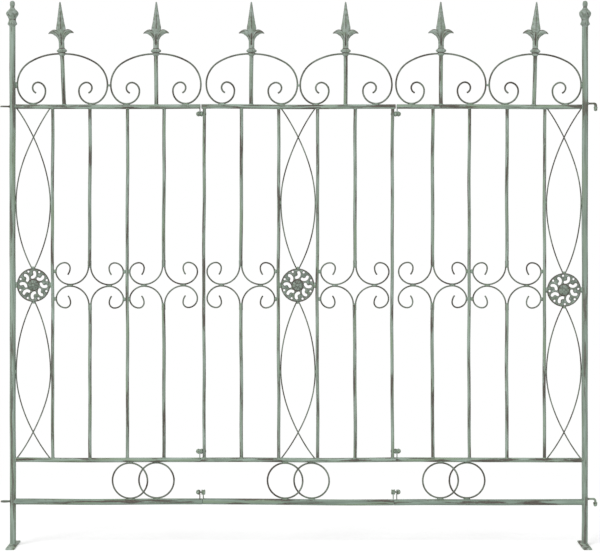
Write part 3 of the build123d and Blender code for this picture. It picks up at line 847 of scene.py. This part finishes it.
# Spear heads.
spear = {
    # height, half width, half depth, and 2 for a round or 1 for a ridged section
    "marks": [
        (1348.5, 6.4, 6.4, 2), (1350.5, 8, 8, 2), (1354, 8.6, 8.6, 2), (1356.5, 8.5, 8.5, 2),
        (1358.5, 11.4, 10.8, 2), (1361, 13.3, 12, 2), (1364, 13.1, 11.6, 2), (1366.4, 10.6, 9.6, 2),
        (1369, 8.3, 7.8, 2), (1377, 7.8, 6.9, 1.8), (1386, 7.8, 6.8, 1.6), (1396, 8, 6.6, 1.4),
        (1406, 9.2, 6.4, 1.2), (1415, 12, 6.2, 1.05), (1421, 13, 6, 1.0), (1440, 10.2, 5.2, 1.0),
        (1460, 7.2, 4, 1.0), (1480, 4.2, 2.6, 1.0), (1492, 2.4, 1.7, 1.1), (1496, 1.7, 1.3, 1.5),
        (1497, 0.4, 0.4, 2)],
    # the leaf's middle line in X and Z, then its half width and half depth
    "leaf": [
        (2.6, 1374, 3.4, 3.6), (3.2, 1386, 4.2, 4.6), (4.8, 1396, 4.8, 5.4), (8.6, 1405, 6.2, 5.8),
        (14, 1412, 8.2, 5.4), (20, 1414.4, 7, 4.6), (25.5, 1414.2, 4.9, 3.6), (30, 1413, 3, 2.6),
        (33.6, 1411.2, 1.5, 1.5), (35.2, 1410.3, 0.6, 0.6)],
    "stemSides": 64, "stemStep": 1.6, "leafSides": 24, "leafStep": 1.4, "leafPower": 1.35,
    "crown": 1362.5, "crownLobes": 8, "creases": (1356.6, 1368.6),
}


def spearStem(x, lean):
    # Each level is a superellipse |x/w|^n + |y/d|^n = 1, from round at the socket to a ridged blade. The
    # crown is cut into eight lobes, and the throat has a groove front and back.
    z, w, d, n = smoothLevels(spear["marks"], spear["stemStep"]).T[:, :, None]
    t = turn(spear["stemSides"])
    c, s = cos(t), sin(t)
    r = (np.abs(c) ** n + np.abs(s) ** n) ** (-1 / n)
    lobes = np.abs(cos(spear["crownLobes"] * t / 2)) * 2 - 1.3
    r = r * (1 + 0.10 * bell(z, spear["crown"], 4.5) * lobes)
    throat = ramp(z, 1372, 1380) * ramp(z, 1420, 1406)
    px = w * r * c
    py = d * r * s * (1 - 0.42 * throat * bell(px, 0, 1.9))
    part = gridPart(tilt(pointsAt(px, py, z), lean, headFoot) + (x, 0, 0))
    # painted shade down the middle of the throat and the blade's lower half, along the blade's edges and
    # round the crown
    blade = ramp(z, 1419, 1423)
    part["paintedShade"] = largest(
        throat * bell(px, 0, 2.2),
        0.85 * blade * bell(px, 0, 1.3) * ramp(z, 1482, 1452),
        0.75 * blade * bell(np.abs(px), w, 1.0),
        0.9 * bell(z, spear["creases"][0], 1.5) + 0.8 * bell(z, spear["creases"][1], 1.5),
    ).ravel()
    return part


def spearLeaf(x, lean, hand):
    # A leaf that leaves the throat, arches outward and droops: an ellipse carried along its middle line,
    # pinched to a ridge at the front and back.
    middleX, middleZ, w, d = smoothLevels(spear["leaf"], spear["leafStep"]).T
    path = pointsAt(middleX, 0, middleZ)
    n = np.cross((0, 1, 0), unit(np.gradient(path, axis=0)))
    t = turn(spear["leafSides"])
    c, s = cos(t), sin(t)
    power = spear["leafPower"]
    pinch = (np.abs(c) ** power + np.abs(s) ** power) ** (-1 / power)
    across = w[:, None] * pinch * c
    deep = d[:, None] * pinch * s
    points = path[:, None] + across[..., None] * n[:, None] + deep[..., None] * array([0, 1, 0])
    part = gridPart(tilt(points * (hand, 1, 1), lean, headFoot) + (x, 0, 0))
    # painted shade: dark along the fold that runs out to the tip, and under the lower edge
    part["paintedShade"] = (0.95 * bell(across, -0.8, 1.1) + 0.75 * (c < -0.85) + 0.5 * (c > 0.93)).ravel()
    return part if hand > 0 else insideOut(part)


spearParts = []
for x, lean in arches:
    spearParts += [spearStem(x, lean), spearLeaf(x, lean, -1), spearLeaf(x, lean, 1)]
makePiece("castSpearHeads", spearParts, "castSageEnamel", named("spear_heads"), wearReach=0)
print("castings made")

# Medallions.
medallion = {
    "radius": 46.2, "boss": 16.5, "arms": 8, "knobCircle": 30.5, "slotRadius": 9.1, "slotWidth": 8,
    "slotSweep": 112, "slotLean": 58, "smallCircle": 39.2, "smallRadius": 3, "smallLag": 11, "back": 2,
    "bossCrease": 15, "petalLean": 0.03,
    "cell": 0.8, "nudge": 0.05,      # side of a grid cell, and the step that measures a slope
}


def slotDistance(u, v):
    # Distance from a kidney slot's edge, negative inside it: the slot is an arc round the knob, widened
    # to half its width. u points outward from the medallion and v round it, both from the knob.
    m = medallion
    middleAngle = radians(180 + m["slotLean"])
    halfSweep = radians(m["slotSweep"]) / 2
    a = (np.arctan2(v, u) - middleAngle + pi) % (2 * pi) - pi
    held = middleAngle + np.clip(a, -halfSweep, halfSweep)
    fromArc = hypot(u - m["slotRadius"] * cos(held), v - m["slotRadius"] * sin(held))
    return fromArc - m["slotWidth"] / 2


def nearestArm(x, z, start):
    # Angle of the arm that is nearest, an arm being at start and every eighth of a turn from there.
    pitch = 2 * pi / medallion["arms"]
    return start + pitch * np.round((np.arctan2(z, x) - start) / pitch)


def petalWave(x, z, start):
    # 0 in the creases between the boss's petals, which lean with the distance from the middle.
    lean = medallion["petalLean"] * hypot(x, z)
    return sin(medallion["arms"] / 2 * (np.arctan2(z, x) - start + lean))


def medallionDistance(x, z, start):
    # Distance from the metal's edge in the medallion's plane, negative in the metal: slots and small
    # holes are cut at the nearest arm and its two neighbours.
    m = medallion
    arm = nearestArm(x, z, start)
    metal = hypot(x, z) - m["radius"]
    for a in (arm - 2 * pi / m["arms"], arm, arm + 2 * pi / m["arms"]):
        u = x * cos(a) + z * sin(a) - m["knobCircle"]
        v = -x * sin(a) + z * cos(a)
        b = a + radians(m["smallLag"])
        small = hypot(x - m["smallCircle"] * cos(b), z - m["smallCircle"] * sin(b))
        metal = largest(metal, -slotDistance(u, v), m["smallRadius"] - small)
    return metal


def medallionFront(x, z, start):
    # Height of the front above the back plane: every strand is rounded up from its edge, the rim and
    # the knobs stand higher, and the boss is a dome of eight petals with a bead in the middle.
    m = medallion
    inside = np.clip(-medallionDistance(x, z, start) / 2.6, 0, 1)
    rho = hypot(x, z)
    height = 1.6 + 2.4 * np.sqrt(inside) + 0.9 * bell(rho, m["radius"] - 2, 1.4)
    a = nearestArm(x, z, start)
    knob = hypot(x - m["knobCircle"] * cos(a), z - m["knobCircle"] * sin(a))
    height += 1.9 * bell(knob, 0, 3.4) - 1.0 * bell(knob, 5.2, 0.9)
    petals = np.abs(petalWave(x, z, start)) * ramp(rho, 0, 6)
    height += np.clip(1 - (rho / m["boss"]) ** 2, 0, 1) * (2.6 + 1.3 * petals)
    height -= 1.2 * bell(rho, m["bossCrease"], 1.6)
    return height + 1.4 * bell(rho, 0, 3.2) - 0.9 * bell(rho, 4.6, 0.9)


def medallionPaintedShade(x, z, start):
    # painted shade: dark down the walls and along the edges, on the rim, and in the creases of the boss
    rho = hypot(x, z)
    crease = bell(petalWave(x, z, start), 0, 0.3) * (rho > 5) * (rho < 15.5)
    return largest(
        np.exp(medallionDistance(x, z, start) / 1.3),
        0.9 * bell(rho, medallion["radius"] - 1.4, 1.7),
        0.85 * bell(rho, 15.4, 1.6) + 0.6 * bell(rho, 5, 0.9),
        0.8 * crease,
    )


def medallionPart(x0, z0, start):
    # A square grid whose points near an edge are drawn onto it, front and back, with walls between.
    m = medallion
    count = int(2 * m["radius"] / m["cell"]) + 3
    line = (np.arange(count) - (count - 1) / 2) * m["cell"]
    x, z = np.meshgrid(line, line, indexing="ij")
    e = m["nudge"]
    for _ in range(2):
        d = medallionDistance(x, z, start)
        slopeX = medallionDistance(x + e, z, start) - medallionDistance(x - e, z, start)
        slopeZ = medallionDistance(x, z + e, start) - medallionDistance(x, z - e, start)
        close = np.abs(d) < 0.62 * m["cell"]
        x = x - np.where(close, d * slopeX / (2 * e), 0)
        z = z - np.where(close, d * slopeZ / (2 * e), 0)
    i = np.arange(count - 1)[:, None] * count + np.arange(count - 1)[None, :]
    quads = np.stack([i, i + count, i + count + 1, i + 1], axis=-1).reshape(-1, 4)
    middleX, middleZ = x.ravel()[quads].mean(1), z.ravel()[quads].mean(1)
    quads = quads[medallionDistance(middleX, middleZ, start) < -0.02]
    used, flat = np.unique(quads, return_inverse=True)
    quads = flat.reshape(-1, 4)
    x, z = x.ravel()[used], z.ravel()[used]
    n = len(x)
    front = pointsAt(x, m["back"] - medallionFront(x, z, start), z)
    points = concatenate([front, pointsAt(x, m["back"], z)]) + (x0, 0, z0)
    # an edge that only one quad uses is on the rim, where a wall joins the front to the back
    edges = concatenate([quads[:, [k, (k + 1) % 4]] for k in range(4)])
    key = np.sort(edges, axis=1)
    _, first, uses = np.unique(key[:, 0] * n + key[:, 1], return_index=True, return_counts=True)
    rim = edges[first[uses == 1]]
    walls = np.stack([rim[:, 1], rim[:, 0], rim[:, 0] + n, rim[:, 1] + n], axis=1)
    faces = concatenate([quads, quads[:, ::-1] + n, walls])
    # painted shade: as above on the front, and at half strength all over the back
    paintedShade = concatenate([medallionPaintedShade(x, z, start), np.full(n, 0.5)])
    return {"points": points, "flow": points, "quads": faces, "caps": [], "paintedShade": paintedShade}


medallionParts = [medallionPart(bay["middle"], bay["height"], radians(bay["firstKnob"]))
                  for bay in bays.values()]
makePiece("piercedMedallions", medallionParts, "castMedallion", ["medallions"], wearReach=0)
print("medallions made")

# Floor, backdrop and light.
studio = {
    "skyStrength": 0.62, "sunStrength": 1.5, "sunAngle": 25, "sunFrom": (-0.55, -1.0, 0.85),
    "floorReach": 30, "floorPale": 0.88, "floorLift": 0.28,
    "shadowMiddle": (0.787, 0, 0), "shadowSqueeze": (0.55, 1, 1), "shadowEnds": (0.6, 1.5),     # metres
}
white = (1, 1, 1, 1)


def seenRay(tree, kinds):
    # 1 for a ray of one of these kinds, and else 0.
    rays = addNode(tree, "LightPath")
    seen = rays.outputs["Is Camera Ray"]
    for kind in kinds:
        seen = calculate(tree, "MAXIMUM", seen, rays.outputs[f"Is {kind} Ray"])
    return seen


def makeFloor(s):
    # A pale floor that keeps the fence's shadow and turns to plain white away from it.
    r = s["floorReach"]
    mesh = bpy.data.meshes.new("floor")
    mesh.from_pydata([(-r, -r, 0), (r, -r, 0), (r, r, 0), (-r, r, 0)], [], [(0, 1, 2, 3)])
    material = bpy.data.materials.new("whiteStudioFloor")
    tree = clearedTree(material)
    place = addNode(tree, "TexCoord").outputs["Object"]
    fromFence = calculate(tree, "SUBTRACT", place, s["shadowMiddle"], kind="VectorMath")
    squeezed = calculate(tree, "MULTIPLY", fromFence, s["shadowSqueeze"], kind="VectorMath")
    away = addNode(tree, "VectorMath", {"operation": "LENGTH", 0: squeezed}).outputs["Value"]
    seen = seenRay(tree, ["Glossy"])
    whiteSeen = calculate(tree, "MULTIPLY", smoothStep(tree, away, *s["shadowEnds"]), seen)
    lift = calculate(tree, "MULTIPLY", seen, s["floorLift"])
    matt = addNode(tree, "BsdfDiffuse", {"Color": (s["floorPale"], s["floorPale"], s["floorPale"], 1)})
    glow = addNode(tree, "Emission", {"Color": white, "Strength": lift})
    near = addNode(tree, "AddShader", {0: matt.outputs[0], 1: glow.outputs[0]})
    far = addNode(tree, "Emission", {"Color": white, "Strength": 1.0})
    both = addNode(tree, "MixShader", {0: whiteSeen, 1: near.outputs[0], 2: far.outputs[0]})
    addNode(tree, "OutputMaterial", {"Surface": both.outputs[0]})
    mesh.materials.append(material)
    floor = bpy.data.objects.new("floor", mesh)
    bpy.context.collection.objects.link(floor)


def makeLight(s):
    # Even white sky light, seen as plain white, and a broad soft lamp high at the front left.
    world = bpy.data.worlds.new("studioSky")
    bpy.context.scene.world = world
    tree = clearedTree(world)
    seen = seenRay(tree, ["Glossy", "Transmission"])
    strength = addNode(tree, "MapRange", {0: seen, 3: s["skyStrength"], 4: 1.0}).outputs[0]
    sky = addNode(tree, "Background", {"Color": white, "Strength": strength})
    addNode(tree, "OutputWorld", {"Surface": sky.outputs[0]})
    lamp = bpy.data.lights.new("softLamp", "SUN")
    lamp.energy = s["sunStrength"]
    lamp.angle = radians(s["sunAngle"])
    lampObject = bpy.data.objects.new("softLamp", lamp)
    lampObject.rotation_euler = (-Vector(s["sunFrom"])).to_track_quat("-Z", "Y").to_euler()
    bpy.context.collection.objects.link(lampObject)


makeFloor(studio)
makeLight(studio)
print("studio made")
